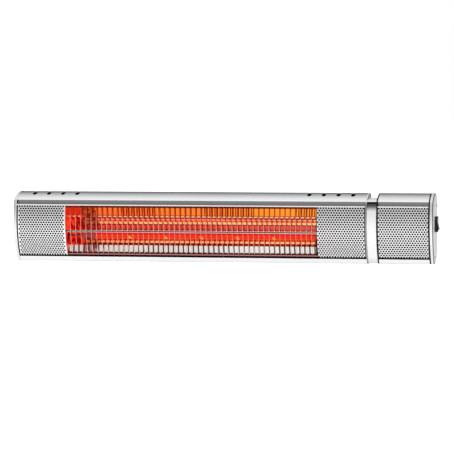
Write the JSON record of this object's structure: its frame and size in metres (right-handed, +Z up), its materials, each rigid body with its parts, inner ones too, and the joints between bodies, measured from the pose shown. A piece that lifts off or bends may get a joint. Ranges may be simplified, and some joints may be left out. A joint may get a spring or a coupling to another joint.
{
  "type": "electric bar heater",
  "caption": "Wall-mounted electric bar heater: bowed aluminium housing, quartz lamp before a folded reflector, wire guard, perforated panels, rocker switch and tilting bracket.",
  "frame": {"origin": "centre of the wall plate's rear face, on the wall's surface and level with the tilt pivot", "axes": "+X runs along the heater towards the control box and its switch, +Y points back into the wall, so the glowing front faces -Y, +Z is up"},
  "size_m": [0.8639, 0.148, 0.142],
  "materials": {
    "bracket_steel": "silver powder coat",
    "zinc_steel": "bright zinc plate",
    "satin_aluminium": "satin anodised",
    "silver_cast": "fine silver paint",
    "perforated_steel": "satin",
    "guard_steel": "bright",
    "polished_aluminium": "polished",
    "red_quartz": "clear red",
    "glowing_filament": "glowing hot",
    "filament_discs": "hot",
    "lamp_ceramic": "matt white",
    "spring_steel": "plain",
    "black_rubber": "matt",
    "switch_plastic": "black",
    "rocker_plastic": "black",
    "cutout_plastic": "black",
    "gland_plastic": "black",
    "lead_silicone": "red silicone",
    "switch_lead_silicone": "blue silicone"
  },
  "bodies": {
    "wall_bracket": {"wall_plate": "bracket_steel", "pivot_bolts": "zinc_steel", "pivot_washers": "zinc_steel", "pivot_nuts": "zinc_steel"},
    "heater": {"back_brackets": "bracket_steel", "bracket_screws": "zinc_steel", "cap_screws": "zinc_steel", "gland_nut": "zinc_steel", "housing_shell": "satin_aluminium", "control_box_shell": "satin_aluminium", "left_end_cap": "silver_cast", "right_end_cap": "silver_cast", "housing_end_plate": "silver_cast", "neck_ring": "silver_cast", "left_panel": "perforated_steel", "right_panel": "perforated_steel", "control_panel": "perforated_steel", "guard_wires": "guard_steel", "guard_rods": "guard_steel", "reflector": "polished_aluminium", "left_reflector_end": "polished_aluminium", "right_reflector_end": "polished_aluminium", "quartz_tube": "red_quartz", "heating_filament": "glowing_filament", "filament_supports": "filament_discs", "left_lamp_base": "lamp_ceramic", "right_lamp_base": "lamp_ceramic", "terminal_block": "lamp_ceramic", "left_lamp_holder": "spring_steel", "right_lamp_holder": "spring_steel", "neck_gasket": "black_rubber", "cap_gasket": "black_rubber", "switch_frame": "switch_plastic", "thermal_cutout": "cutout_plastic", "cable_gland": "gland_plastic", "lamp_leads": "lead_silicone", "switch_leads": "switch_lead_silicone"},
    "rocker": {"rocker_button": "rocker_plastic"}
  },
  "joints": [
    {"name": "tilt", "type": "hinge", "parent": "wall_bracket", "child": "heater", "pos_m": [0, -0.03, 0], "axis": [1, 0, 0], "range_deg": [-30, 45]},
    {"name": "rocker_press", "type": "hinge", "parent": "heater", "child": "rocker", "pos_m": [0.4265, -0.096, 0.008], "axis": [0, 1, 0], "range_deg": [0, 18]}
  ]
}
